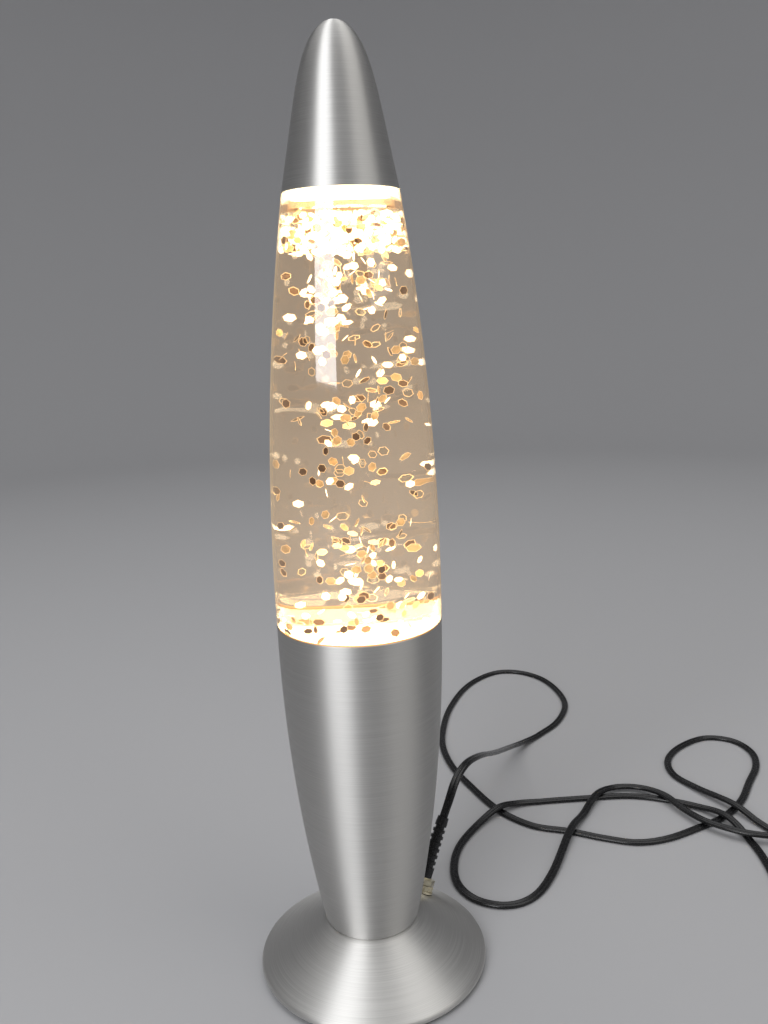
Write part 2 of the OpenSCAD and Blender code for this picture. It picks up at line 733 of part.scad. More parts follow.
module switch_contacts() {
  color("gold") at_switch() for (s = [-1, 1]) {
    translate([s * 4 - 2.5, -5, switch_wall]) cube([5, 10, 1]);
    translate([s * 4 - 2.5, -5, switch_wall + 1]) cube([5, 1, 2.5]);
  }
}

module switch_screws() {
  color("silver") at_switch() for (s = [-1, 1]) translate([0, s * screw_y, 0]) difference() {
    union() {
      translate([0, 0, 0.4]) cylinder(r = head_r, h = 1.2);
      translate([0, 0, 1.6]) cylinder(r = shaft_r, h = split_z + 3 - 1.6);
    }
    translate([-head_r - 1, -0.3, -0.2]) cube([2 * head_r + 2, 0.6, 1.2]);
  }
}

module plug_body() {
  taper = 6;
  slim = 5;
  color("black") at_plug() difference() {
    translate([0, 0, -plug_ht / 2]) linear_extrude(height = plug_ht) polygon([
      [0, -slim], [taper, -slim - 1.5], [plug_len * 0.55, -plug_w / 2], [plug_len, -plug_w / 2],
      [plug_len, plug_w / 2], [plug_len * 0.55, plug_w / 2], [taper, slim + 1.5], [0, slim]]);
    for (s = [-1, 1]) translate([plug_len - pin_root, s * pin_gap / 2, 0]) rotate([0, 90, 0])
      cylinder(r = pin_core_r, h = pin_root + 2);
  }
}

module plug_tail() {
  ribs = 5;
  pitch = (tail_len - 4) / ribs;
  color("black") at_plug() translate([-tail_len, 0, 0]) rotate([0, 90, 0]) spin(concat(
    [[0, 0], [boot_end_r, 0]],
    [for (i = [0:ribs - 1]) let(z = 2 + i * pitch, r = boot_end_r + 1.6 * z / tail_len) each [
      [r, z], [r, z + pitch * 0.5], [r - 0.6, z + pitch * 0.55], [r - 0.6, z + pitch * 0.95]]],
    [[boot_end_r + 1.6, tail_len - 1], [boot_end_r + 1.6, tail_len], [0, tail_len]]));
}

module plug_pins() {
  color("silver") at_plug() for (s = [-1, 1]) translate([plug_len, s * pin_gap / 2, 0]) rotate([0, 90, 0]) {
    translate([0, 0, -pin_root]) cylinder(r = pin_core_r, h = pin_root + sleeve_len);
    translate([0, 0, sleeve_len]) cylinder(r = pin_r, h = pin_len - sleeve_len - pin_tip);
    translate([0, 0, pin_len - pin_tip]) cylinder(r1 = pin_r, r2 = pin_r - 0.7, h = pin_tip);
  }
}

module plug_sleeves() {
  color("black") at_plug() for (s = [-1, 1]) translate([plug_len, s * pin_gap / 2, 0]) rotate([0, 90, 0])
    washer(pin_r, pin_core_r, sleeve_len);
}

foot_ring();
closing_plate();
foot_skirt();
body_shell();
centre_tube();
tube_washers();
tube_nuts();
holder_cap();
holder_sleeve();
terminal_block();
screw_shell();
contact_spring();
terminal_screws();
bulb_tip();
bulb_insulator();
bulb_base();
bulb_glass_envelope();
bulb_stem();
bulb_filament();
bottle();
liquid();
glitter_flakes();
bottle_closure();
closure_liner();
top_cap();
outlet_nipple();
outlet_washer();
outlet_nuts();
strain_relief();
live_wire();
neutral_wire();
lamp_lead();
switch_lower();
switch_upper();
switch_rocker();
switch_contacts();
switch_screws();
plug_lead();
plug_body();
plug_tail();
plug_pins();
plug_sleeves();
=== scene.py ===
"""Liquid motion lamp: fine surfaces, glitter, lead, camera and light on the shared frame."""
import math
import random

import bpy
from mathutils import Matrix, Vector


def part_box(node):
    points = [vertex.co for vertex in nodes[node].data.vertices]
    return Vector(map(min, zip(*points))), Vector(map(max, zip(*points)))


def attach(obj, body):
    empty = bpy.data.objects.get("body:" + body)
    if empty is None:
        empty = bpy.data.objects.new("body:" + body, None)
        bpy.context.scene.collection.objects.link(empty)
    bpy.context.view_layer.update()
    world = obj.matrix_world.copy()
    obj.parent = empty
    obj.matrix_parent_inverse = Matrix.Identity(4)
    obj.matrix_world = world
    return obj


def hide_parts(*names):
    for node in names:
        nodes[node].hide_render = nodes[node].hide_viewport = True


MM = 0.001
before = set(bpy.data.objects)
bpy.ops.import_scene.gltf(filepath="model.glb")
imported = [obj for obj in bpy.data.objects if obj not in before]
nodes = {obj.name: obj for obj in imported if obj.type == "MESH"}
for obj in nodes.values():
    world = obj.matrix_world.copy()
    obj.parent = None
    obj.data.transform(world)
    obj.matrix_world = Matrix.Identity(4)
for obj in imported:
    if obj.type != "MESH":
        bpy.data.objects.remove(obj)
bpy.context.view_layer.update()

# Sizes read from the frame, in millimetres
foot_low, foot_high = (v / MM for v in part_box("foot_skirt"))
body_low, body_high = (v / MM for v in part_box("body_shell"))
bottle_low, bottle_high = (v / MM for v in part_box("bottle"))
cap_low, cap_high = (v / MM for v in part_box("top_cap"))
closure_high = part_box("bottle_closure")[1] / MM
tube_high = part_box("centre_tube")[1] / MM
liquid_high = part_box("liquid")[1] / MM
switch_low, switch_high = (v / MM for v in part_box("switch_upper"))
tail_low, tail_high = (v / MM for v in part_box("plug_tail"))

# Sizes of the metal, in millimetres
FOOT_R = 53.0
NECK_R = 22.0
MOUTH_R = 36.0
BODY_BULGE = 3.5
BODY_WALL = 1.0
EDGE_R = 1.4
SKIRT_WALL = 1.2
RIM_R = 2.0
LIP_W = 4.5
LEDGE_W = 0.5
TUBE_GAP = 0.15
BEAD_W = 2.0
BEAD_H = 3.0
MOUTH_BEVEL = 0.25
FLOOR_EASE = 0.4
CAP_WALL = 1.0
CAP_BEVEL = 0.3
CAP_EASE = 0.02

# Share by which the cap narrows, and the power that blunts its tip
CAP_TAPER = 0.52
CAP_BLUNT = 7.5

# Sizes of the bottle and the liquid, in millimetres
SHOULDER_R = 23.6
BOTTLE_BULGE = 3.7
GLASS_WALL = 2.5
FLOOR_T = 4.0
HEEL_GAP = 0.5
HEEL_ROUND = 3.0
STEP_R = 0.8
PLUG_GAP = 1.0
PLUG_H = 1.5
NECK_H = 12.0
CLOSURE_WALL = 1.8
DOME_BULGE = 2.0
DOME_DROP = 1.0
CAVITY_ROUND = 3.0
FLARE_H = 12.5
FLARE_BULGE = 0.6
FLARE_SKIP = 1.0
WET_GAP = 0.05
WET_SKIP = 0.5
LIQUID_GAP = 0.2
DISC_GAP = 0.4
DISC_LOW = 0.3
DISC_HIGH = 0.1

# Bands in which the bottle's faces take a painted glow, in millimetres
BAND_EDGE = 0.1
BAND_H = 1.4

# Steps along the outlines, angles in degrees, and the radius in millimetres that counts as the axis
SEGMENTS = 192
SIDE_STEPS = 64
INNER_STEPS = 40
FLANK_STEPS = 24
RIM_STEPS = 14
ROUND_STEPS = 8
STEP_STEPS = 6
CAP_STEPS = 72
GLASS_STEPS = 80
DOME_STEPS = 14
SHARP = 35.0
AXIS_R = 0.001
WET_TURN = -10

# Camera: film width and lens in millimetres, turns in radians, place in metres
FILM_W = 36.0
LENS = 32.79
NEAREST = 0.01
PITCH = math.radians(12.738)
ROLL = math.radians(-2.134)
YAW = math.radians(1.84)
CAMERA_PLACE = (0, -0.389, 0.3045)


def set_camera():
    data = bpy.data.cameras.new("photo_camera")
    data.sensor_width = FILM_W
    data.lens = LENS
    data.clip_start = NEAREST
    camera = bpy.data.objects.new("photo_camera", data)
    bpy.context.scene.collection.objects.link(camera)
    flat = math.cos(PITCH)
    ahead = Vector((math.sin(YAW) * flat, math.cos(YAW) * flat, -math.sin(PITCH)))
    level = Vector((math.cos(YAW), -math.sin(YAW), 0))
    upward = level.cross(ahead)
    right = math.cos(ROLL) * level + math.sin(ROLL) * upward
    above = -math.sin(ROLL) * level + math.cos(ROLL) * upward
    turn = Matrix((right, above, -ahead)).transposed().to_4x4()
    turn.translation = Vector(CAMERA_PLACE)
    camera.matrix_world = turn
    bpy.context.scene.camera = camera


set_camera()

# Shading values: scales per metre, depths in metres, the rest without a unit
RAMP_LOW = 0.3
RAMP_HIGH = 0.7
BUMP = 0.5
ACROSS = 0.25
LINES = 6000.0
LINE_DETAIL = 3.0
LINE_DEPTH = 0.000006
LINE_ROUGH = 0.05
MOULD_SCALE = 900.0
MOULD_DEPTH = 0.00003
MOULD_ROUGH = 0.08
METAL_SCALE = 500.0
METAL_DETAIL = 6.0
METAL_SMOOTHER = 0.1
METAL_ROUGHER = 0.12
WAVE_SCALE = 45.0
WAVE_DEPTH = 0.00004
GLOW_SCALE = 60.0
GLOW_DETAIL = 2.0
FLAKE_SCALE = 500.0
GLASS_IOR = 1.5
LIQUID_IOR = 1.36


# Shading helpers
def principled(material):
    return material.node_tree.nodes["Principled BSDF"]


def new_material(name, color, metallic=0.0, roughness=0.5, **extra):
    material = bpy.data.materials.new(name)
    material.use_nodes = True
    shader = principled(material)
    shader.inputs["Base Color"].default_value = (*color, 1)
    shader.inputs["Metallic"].default_value = metallic
    shader.inputs["Roughness"].default_value = roughness
    for key, value in extra.items():
        shader.inputs[key.replace("_", " ")].default_value = value
    return material


def add_node(material, kind, **settings):
    node = material.node_tree.nodes.new(kind)
    for key, value in settings.items():
        setattr(node, key, value)
    return node


def join(material, source, target):
    material.node_tree.links.new(source, target)


def spread(material, source, low, high):
    scale = add_node(material, "ShaderNodeMapRange")
    scale.inputs["To Min"].default_value = low
    scale.inputs["To Max"].default_value = high
    join(material, source, scale.inputs["Value"])
    return scale.outputs["Result"]


def tinted(material, source, dark, light):
    ramp = add_node(material, "ShaderNodeValToRGB")
    ramp.color_ramp.elements[0].position = RAMP_LOW
    ramp.color_ramp.elements[0].color = (*dark, 1)
    ramp.color_ramp.elements[1].position = RAMP_HIGH
    ramp.color_ramp.elements[1].color = (*light, 1)
    join(material, source, ramp.inputs["Fac"])
    return ramp.outputs["Color"]


def grain(material, scale, detail=4.0):
    place = add_node(material, "ShaderNodeTexCoord")
    noise = add_node(material, "ShaderNodeTexNoise")
    noise.inputs["Scale"].default_value = scale
    noise.inputs["Detail"].default_value = detail
    join(material, place.outputs["Object"], noise.inputs["Vector"])
    return noise.outputs["Fac"]


def raise_grain(material, source, depth):
    bump = add_node(material, "ShaderNodeBump")
    bump.inputs["Distance"].default_value = depth
    bump.inputs["Strength"].default_value = BUMP
    join(material, source, bump.inputs["Height"])
    join(material, bump.outputs["Normal"], principled(material).inputs["Normal"])


def turned_metal(name, dark, light, roughness, drawn=0.89):
    """Metal with fine lines turned around the lamp's axis."""
    material = new_material(name, light, 1.0, roughness, Anisotropic=drawn, Anisotropic_Rotation=ACROSS)
    place = add_node(material, "ShaderNodeTexCoord")
    split = add_node(material, "ShaderNodeSeparateXYZ")
    around = add_node(material, "ShaderNodeMath", operation="ARCTAN2")
    lines = add_node(material, "ShaderNodeCombineXYZ")
    fine = add_node(material, "ShaderNodeTexNoise")
    fine.inputs["Scale"].default_value = 1.0
    fine.inputs["Detail"].default_value = LINE_DETAIL
    height = add_node(material, "ShaderNodeMath", operation="MULTIPLY")
    height.inputs[1].default_value = LINES
    join(material, place.outputs["Object"], split.inputs[0])
    join(material, split.outputs["Y"], around.inputs[0])
    join(material, split.outputs["X"], around.inputs[1])
    join(material, split.outputs["Z"], height.inputs[0])
    join(material, around.outputs[0], lines.inputs["X"])
    join(material, height.outputs[0], lines.inputs["Z"])
    join(material, lines.outputs[0], fine.inputs["Vector"])
    shade = tinted(material, fine.outputs["Fac"], dark, light)
    join(material, shade, principled(material).inputs["Base Color"])
    rough = spread(material, fine.outputs["Fac"], roughness - LINE_ROUGH, roughness + LINE_ROUGH)
    join(material, rough, principled(material).inputs["Roughness"])
    tangent = add_node(material, "ShaderNodeTangent", direction_type="RADIAL", axis="Z")
    join(material, tangent.outputs[0], principled(material).inputs["Tangent"])
    raise_grain(material, fine.outputs["Fac"], LINE_DEPTH)
    return material


def moulded(name, dark, light, roughness, scale=MOULD_SCALE, **extra):
    """Plastic or rubber with a fine moulded grain."""
    material = new_material(name, light, 0.0, roughness, **extra)
    fine = grain(material, scale)
    join(material, tinted(material, fine, dark, light), principled(material).inputs["Base Color"])
    rough = spread(material, fine, roughness - MOULD_ROUGH, roughness + MOULD_ROUGH)
    join(material, rough, principled(material).inputs["Roughness"])
    raise_grain(material, fine, MOULD_DEPTH)
    return material


def plain_metal(name, dark, light, roughness):
    """Machined or plated small metal part."""
    material = new_material(name, light, 1.0, roughness)
    fine = grain(material, METAL_SCALE, METAL_DETAIL)
    join(material, tinted(material, fine, dark, light), principled(material).inputs["Base Color"])
    rough = spread(material, fine, roughness - METAL_SMOOTHER, roughness + METAL_ROUGHER)
    join(material, rough, principled(material).inputs["Roughness"])
    return material


def clear(name, color, ior, roughness=0.0, **extra):
    """Glass or liquid with a faint waviness."""
    material = new_material(name, color, 0.0, roughness, IOR=ior, Transmission_Weight=1.0, **extra)
    raise_grain(material, grain(material, WAVE_SCALE, detail=1.0), WAVE_DEPTH)
    return material


def lit(name, color, glow, strength, roughness=0.4, metallic=0.0, scale=GLOW_SCALE, uneven=0.25):
    """A surface that gives off light in patches: the bulb's own glow, or painted glow that stands in for
    the lamp's light on parts that are no lamp.
    """
    material = new_material(name, color, metallic, roughness, Emission_Color=(*glow, 1))
    patches = grain(material, scale, GLOW_DETAIL)
    glowing = spread(material, patches, strength * (1 - uneven), strength * (1 + uneven))
    join(material, glowing, principled(material).inputs["Emission Strength"])
    return material


aluminium = turned_metal("turned_aluminium", (0.58, 0.572, 0.553), (0.7, 0.692, 0.672), 0.52)
foot_metal = turned_metal("turned_foot", (0.58, 0.572, 0.553), (0.7, 0.692, 0.672), 0.47, drawn=0.8)
black_pvc = moulded("black_pvc", (0.004, 0.004, 0.0045), (0.009, 0.009, 0.01), 0.27,
                    Specular_IOR_Level=0.5)
black_moulding = moulded("black_moulding", (0.014, 0.014, 0.015), (0.03, 0.03, 0.032), 0.46, scale=1500.0)
pad_rubber = moulded("pad_rubber", (0.02, 0.02, 0.02), (0.05, 0.05, 0.05), 0.8)
black_sheet = moulded("black_sheet", (0.015, 0.015, 0.015), (0.03, 0.03, 0.03), 0.5)
cream_plastic = moulded("cream_plastic", (0.7, 0.67, 0.6), (0.82, 0.8, 0.74), 0.45)
block_ceramic = moulded("block_ceramic", (0.78, 0.76, 0.7), (0.86, 0.84, 0.79), 0.5)
white_plastic = moulded("white_plastic", (0.78, 0.77, 0.74), (0.88, 0.87, 0.85), 0.4)
liner_foam = moulded("liner_foam", (0.8, 0.8, 0.78), (0.9, 0.9, 0.88), 0.8)
brown_pvc = moulded("brown_pvc", (0.16, 0.06, 0.02), (0.24, 0.1, 0.04), 0.4)
blue_pvc = moulded("blue_pvc", (0.04, 0.1, 0.3), (0.07, 0.16, 0.42), 0.4)
black_glass = moulded("black_glass", (0.01, 0.01, 0.01), (0.02, 0.02, 0.02), 0.15)
brass = plain_metal("brass", (0.55, 0.38, 0.14), (0.8, 0.6, 0.28), 0.3)
pale_brass = plain_metal("pale_brass", (0.6, 0.54, 0.38), (0.85, 0.79, 0.6), 0.28)
plated_steel = plain_metal("plated_steel", (0.5, 0.5, 0.5), (0.7, 0.7, 0.7), 0.32)
nickel = plain_metal("nickel", (0.62, 0.6, 0.56), (0.8, 0.78, 0.74), 0.2)
clear_glass = clear("clear_glass", (1.0, 0.985, 0.965), GLASS_IOR, Sheen_Weight=1.0, Sheen_Roughness=0.45,
                    Sheen_Tint=(1.0, 0.72, 0.42, 1.0), Coat_Weight=1.0, Coat_Roughness=0.05,
                    Coat_IOR=1.7, Coat_Tint=(1.0, 0.95, 0.88, 1.0))
# Painted glow: a warm emission through the bottle's volume stands in for the bulb's light scattered in
# the glass and liquid
haze_glow = add_node(clear_glass, "ShaderNodeEmission")
haze_glow.inputs["Color"].default_value = (1.0, 0.72, 0.47, 1)
haze_glow.inputs["Strength"].default_value = 2.7
join(clear_glass, haze_glow.outputs[0], clear_glass.node_tree.nodes["Material Output"].inputs["Volume"])
# Painted glow: the dry inner wall above the liquid gives off a faint warm light that stands in for the
# bulb's light reaching it
warm_glow_glass = clear("warm_glow_glass", (1.0, 0.9, 0.75), GLASS_IOR, Emission_Color=(1.0, 0.5, 0.17, 1),
                   Emission_Strength=0.3)
wet_glass = new_material("wet_glass", (1.0, 1.0, 1.0), 0.0, 0.0, IOR=1.0, Transmission_Weight=1.0)
stem_glass = clear("stem_glass", (1.0, 0.99, 0.97), GLASS_IOR)
liquid_side = clear("liquid_side", (0.985, 0.945, 0.89), LIQUID_IOR / GLASS_IOR)
liquid_top = clear("liquid_top", (1.0, 0.99, 0.97), LIQUID_IOR)
# Painted glow: the bottle's floor disc, its shoulder and dome, and the step at the mouth give off light
# that stands in for the bulb's light reaching them
lit_floor = lit("lit_floor", (0.95, 0.9, 0.8), (1.0, 0.85, 0.55), 8.0)
lit_shoulder = lit("lit_shoulder", (0.95, 0.9, 0.8), (1.0, 0.85, 0.55), 4.0)
lit_amber = lit("lit_amber", (0.8, 0.5, 0.25), (1.0, 0.5, 0.17), 0.8)
bulb_glow = lit("bulb_glow", (1.0, 0.95, 0.85), (1.0, 0.78, 0.45), 4.0)
filament = lit("filament", (1.0, 0.8, 0.5), (1.0, 0.7, 0.3), 12.0)
# Painted glints: the flakes and their borders give off light, strongest on the white ones and faint on
# the dark ones, that stands in for the bulb's light glinting off the glitter; their own colours are
# white, gold and dark brown
flake_white_glow = lit("flake_white_glow", (1.0, 0.95, 0.85), (1.0, 0.9, 0.7), 3.2, scale=FLAKE_SCALE)
flake_gold_glow = lit("flake_gold_glow", (0.68, 0.47, 0.24), (1.0, 0.6, 0.25), 0.42, roughness=0.25,
                 metallic=0.6, scale=FLAKE_SCALE, uneven=1.0)
flake_dark = lit("flake_dark", (0.16, 0.085, 0.04), (0.5, 0.2, 0.06), 0.04, roughness=0.3,
                 metallic=0.3, scale=FLAKE_SCALE)
flake_edge_glow = lit("flake_edge_glow", (0.8, 0.62, 0.38), (1.0, 0.7, 0.38), 0.62, roughness=0.3,
                 metallic=0.5, scale=FLAKE_SCALE)
flake_clear = clear("flake_clear", (1.0, 0.95, 0.85), 1.1, roughness=0.1)


# Shape helpers
def new_object(name, verts, faces, materials, picks=None, sharp=SHARP):
    mesh = bpy.data.meshes.new(name)
    mesh.from_pydata(verts, [], faces)
    for material in materials:
        mesh.materials.append(material)
    if picks:
        mesh.polygons.foreach_set("material_index", picks)
    mesh.polygons.foreach_set("use_smooth", [True] * len(mesh.polygons))
    mesh.update()
    mesh.set_sharp_from_angle(angle=math.radians(sharp))
    made = bpy.data.objects.new(name, mesh)
    bpy.context.scene.collection.objects.link(made)
    return made


def arc_line(start, end, bulge, count):
    """Points from start to end along a line that stands out by bulge."""
    along = Vector(end) - Vector(start)
    side = Vector((along.y, -along.x)).normalized()
    points = []
    for i in range(count + 1):
        out = bulge * 4 * (i / count) * (1 - i / count)
        points.append(tuple(Vector(start) + along * (i / count) + side * out))
    return points


def turn_line(centre, radius, first, last, count):
    """Points along an arc, with its first and last angle in degrees."""
    angles = [math.radians(first + (last - first) * i / count) for i in range(count + 1)]
    return [(centre[0] + radius * math.cos(a), centre[1] + radius * math.sin(a)) for a in angles]


def lathe(name, profile, materials, pick=None):
    """Spins a profile of (radius, height) in millimetres around the lamp's axis."""
    verts = []
    rings = []
    for radius, height in profile:
        count = 1 if radius < AXIS_R else SEGMENTS
        rings.append((len(verts), count))
        for k in range(count):
            angle = 2 * math.pi * k / SEGMENTS
            verts.append((radius * MM * math.cos(angle), radius * MM * math.sin(angle), height * MM))
    faces = []
    picks = []
    for i, ((low, low_count), (high, high_count)) in enumerate(zip(rings, rings[1:])):
        for k in range(SEGMENTS):
            n = (k + 1) % SEGMENTS
            ring = [low + k % low_count, low + n % low_count]
            ring += [high + n % high_count, high + k % high_count]
            face = list(dict.fromkeys(ring))
            if len(face) > 2:
                faces.append(face)
                picks.append(pick(i) if pick else 0)
    return new_object(name, verts, faces, materials, picks)


def radius_at(line, height):
    for (r0, z0), (r1, z1) in zip(line, line[1:]):
        if z0 <= height <= z1:
            return r0 + (r1 - r0) * (height - z0) / (z1 - z0)
    return line[-1][0]


# Foot, body and cap
HOLE_R = tube_high.x + TUBE_GAP
BEAD_R = MOUTH_R - BEAD_W


def make_foot():
    ring_z, top_z = foot_low.z, foot_high.z
    top_r = NECK_R + LEDGE_W
    centre = (FOOT_R - RIM_R, ring_z + RIM_R)
    reach = (top_r - centre[0], top_z - centre[1])
    cone = math.degrees(math.atan2(reach[1], reach[0]) - math.acos(RIM_R / math.hypot(*reach)))
    lip = FOOT_R - RIM_R - LIP_W
    rim = turn_line(centre, RIM_R, -90, cone, RIM_STEPS)
    low_r, low_z = rim[-1]
    wide, tall = top_r - low_r, top_z - low_z
    flank = [(low_r + wide * i / FLANK_STEPS, low_z + tall * i / FLANK_STEPS)
             for i in range(1, FLANK_STEPS)]
    inner = turn_line(centre, RIM_R - SKIRT_WALL, cone, -90, ROUND_STEPS)
    slope = math.tan(math.radians(cone))
    inner_top = inner[0][0] - (top_z - SKIRT_WALL - inner[0][1]) * slope
    profile = [(lip, ring_z + SKIRT_WALL), (lip, ring_z)] + rim + flank
    profile += [(top_r, top_z), (HOLE_R, top_z), (HOLE_R, top_z - SKIRT_WALL)]
    profile += [(inner_top, top_z - SKIRT_WALL)] + inner + [(lip, ring_z + SKIRT_WALL)]
    foot = lathe("foot_skirt_fine", profile, [foot_metal])
    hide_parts("foot_skirt")
    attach(foot, "stand")


def make_body():
    low, high = body_low.z, body_high.z
    bead_z = high - BEAD_H
    side = arc_line((NECK_R, low + EDGE_R), (MOUTH_R, high - MOUTH_BEVEL), BODY_BULGE, SIDE_STEPS)
    inner = arc_line((NECK_R - BODY_WALL, low + EDGE_R), (MOUTH_R - BODY_WALL, high),
                     BODY_BULGE, INNER_STEPS)
    corner = turn_line((NECK_R - EDGE_R, low + EDGE_R), EDGE_R, -90, 0, ROUND_STEPS)
    profile = [(HOLE_R, low)] + corner + side[1:]
    profile += [(MOUTH_R - MOUTH_BEVEL, high), (BEAD_R, high), (BEAD_R, bead_z)]
    profile += [(radius_at(inner, bead_z), bead_z)] + [p for p in reversed(inner) if p[1] < bead_z]
    profile += [(NECK_R - EDGE_R - FLOOR_EASE, low + BODY_WALL), (HOLE_R, low + BODY_WALL), (HOLE_R, low)]
    body = lathe("body_shell_fine", profile, [aluminium])
    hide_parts("body_shell")
    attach(body, "stand")


def cap_line(radius, height, count):
    points = []
    for i in range(count + 1):
        t = math.sin(math.pi / 2 * i / count)
        share = (1 - CAP_TAPER * t) * math.sqrt(max(0, 1 - t ** CAP_BLUNT))
        points.append((radius * share, cap_low.z + height * t))
    return points


def make_cap():
    low = cap_low.z
    tall = cap_high.z - low
    outer = cap_line(SHOULDER_R, tall, CAP_STEPS)
    inner = cap_line(SHOULDER_R - CAP_WALL, tall - CAP_WALL, INNER_STEPS)
    profile = [(SHOULDER_R - CAP_WALL, low), (SHOULDER_R - CAP_BEVEL, low)]
    profile += [(outer[0][0] - CAP_EASE, low + CAP_BEVEL)]
    profile += [p for p in outer if p[1] > low + CAP_BEVEL * 2] + list(reversed(inner))
    cap = lathe("top_cap_fine", profile, [aluminium])
    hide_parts("top_cap")
    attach(cap, "cap")


make_foot()
make_body()
make_cap()

# Bottle and liquid
MOUTH_Z = body_high.z
SHOULDER_Z = cap_low.z
LEVEL_Z = liquid_high.z
FLARE_Z = MOUTH_Z + FLARE_H
HEEL_R = BEAD_R - HEEL_GAP
CAVITY_R = HEEL_R - GLASS_WALL
CAVITY_Z = bottle_low.z + FLOOR_T
CAVITY_HEEL = (CAVITY_R - CAVITY_ROUND, CAVITY_Z + CAVITY_ROUND)
CAVITY_SIDE = arc_line((MOUTH_R - GLASS_WALL, MOUTH_Z + GLASS_WALL),
                       (SHOULDER_R - GLASS_WALL, SHOULDER_Z - GLASS_WALL), BOTTLE_BULGE, SIDE_STEPS)
FLARE_R = next(r for r, z in CAVITY_SIDE if z > FLARE_Z)
CAVITY_WALL = arc_line((CAVITY_R, CAVITY_Z + CAVITY_ROUND), (FLARE_R, FLARE_Z), FLARE_BULGE, DOME_STEPS)
CAVITY_WALL += [p for p in CAVITY_SIDE if p[1] > FLARE_Z + FLARE_SKIP]
LEVEL_RIM = (radius_at(CAVITY_WALL, LEVEL_Z), LEVEL_Z)
# Places of the bottle's looks in its list of materials; the shoulder, amber and dry bands carry painted
# glow
GLASS, SHOULDER, AMBER_GLOW, DRY, WET = range(5)


def make_bottle():
    low = bottle_low.z
    plug_r = SHOULDER_R - CAP_WALL - PLUG_GAP
    finish_r = closure_high.x - CLOSURE_WALL
    neck_z = SHOULDER_Z + NECK_H
    outside = [(0, low)]
    outside += turn_line((HEEL_R - HEEL_ROUND, low + HEEL_ROUND), HEEL_ROUND, -90, 0, ROUND_STEPS)
    outside += [(HEEL_R, MOUTH_Z)]
    outside += turn_line((MOUTH_R - STEP_R, MOUTH_Z + STEP_R), STEP_R, -90, 0, STEP_STEPS)
    side = arc_line((MOUTH_R, MOUTH_Z + STEP_R), (SHOULDER_R, SHOULDER_Z), BOTTLE_BULGE, GLASS_STEPS)
    outside += side[1:]
    outside += [(plug_r, SHOULDER_Z)]
    outside += arc_line((plug_r, SHOULDER_Z + PLUG_H), (finish_r, neck_z), DOME_BULGE, DOME_STEPS)
    outside += [(finish_r, bottle_high.z), (finish_r - GLASS_WALL, bottle_high.z)]
    dome = arc_line((plug_r - GLASS_WALL, SHOULDER_Z), (finish_r - GLASS_WALL, neck_z - DOME_DROP),
                    DOME_BULGE, DOME_STEPS)
    inside = list(reversed(dome)) + [p for p in reversed(CAVITY_WALL) if p[1] > LEVEL_Z] + [LEVEL_RIM]
    wet = [(r + WET_GAP, z) for r, z in reversed(CAVITY_WALL) if z < LEVEL_Z - WET_SKIP]
    wet += turn_line(CAVITY_HEEL, CAVITY_ROUND, WET_TURN, -90, ROUND_STEPS)
    wet += [(0, CAVITY_Z)]
    profile = outside + inside + wet
    picks = [GLASS] * len(profile)
    # The shoulder band and the step at the mouth get painted glow
    for i, (r, z) in enumerate(outside):
        if SHOULDER_Z - BAND_EDGE < z < SHOULDER_Z + BAND_H:
            picks[i] = SHOULDER
        elif r > HEEL_R - BAND_EDGE and MOUTH_Z - BAND_EDGE < z < MOUTH_Z + STEP_R - BAND_EDGE:
            picks[i] = AMBER_GLOW
    dome_end = len(outside) + len(dome) - 1
    picks[len(outside):dome_end] = [SHOULDER] * (len(dome) - 1)
    wet_start = len(profile) - len(wet)
    picks[dome_end:wet_start] = [DRY] * (wet_start - dome_end)
    picks[wet_start:] = [WET] * len(wet)
    glass = [clear_glass, lit_shoulder, lit_amber, warm_glow_glass, wet_glass]
    bottle = lathe("bottle_fine", profile, glass, lambda i: picks[i])
    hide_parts("bottle")
    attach(bottle, "bottle")


def make_floor_glow():
    """A lit disc on the floor of the bottle: painted glow that stands in for the bulb's light coming up
    through the glass floor.
    """
    radius = CAVITY_R - DISC_GAP
    low, high = CAVITY_Z - DISC_LOW, CAVITY_Z + DISC_HIGH
    floor = lathe("bottle_floor_glow", [(0, low), (radius, low), (radius, high), (0, high)], [lit_floor])
    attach(floor, "bottle")


def make_liquid():
    side = [(0, CAVITY_Z + LIQUID_GAP)]
    side += turn_line(CAVITY_HEEL, CAVITY_ROUND - LIQUID_GAP, -90, WET_TURN, ROUND_STEPS)
    side += [p for p in CAVITY_WALL if p[1] < LEVEL_Z - WET_SKIP] + [LEVEL_RIM]
    surface = len(side) - 1
    looks = [liquid_side, liquid_top]
    made = lathe("liquid_fine", side + [(0, LEVEL_Z)], looks, lambda i: int(i >= surface))
    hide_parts("liquid")
    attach(made, "bottle")


make_bottle()
make_floor_glow()
make_liquid()

# Glitter: sizes and distances in millimetres
FLAKE_R = 1.8
FLAKE_T = 0.16
FLAKE_GAP = 0.6
CLUMP_R = 4.5
RAFT_H = 17.0
SKIN_H = 2.2
TAIL_LOW = 38.0
TAIL_HIGH = 16.0
DRIFT_LOW = 4.0
SETTLED_LOW = 3.0
SETTLED_HIGH = 6.0

# Glitter: shares and counts
CLUMPED = 0.7
COLUMN = 0.75
CORE = 0.55
BORDER = 0.86
SMALLEST = 0.95
LARGEST = 1.15
CORNERS = 6
TRIES = 40
SEED = 12


def flake_reach(z):
    return radius_at(CAVITY_WALL, max(z, CAVITY_WALL[0][1])) - FLAKE_R - FLAKE_GAP


def any_spot(rng, low, high, share=1.0):
    z = rng.uniform(low, high)
    r = flake_reach(z) * share * math.sqrt(rng.random())
    a = rng.uniform(0, 2 * math.pi)
    return Vector((r * math.cos(a), r * math.sin(a), z))


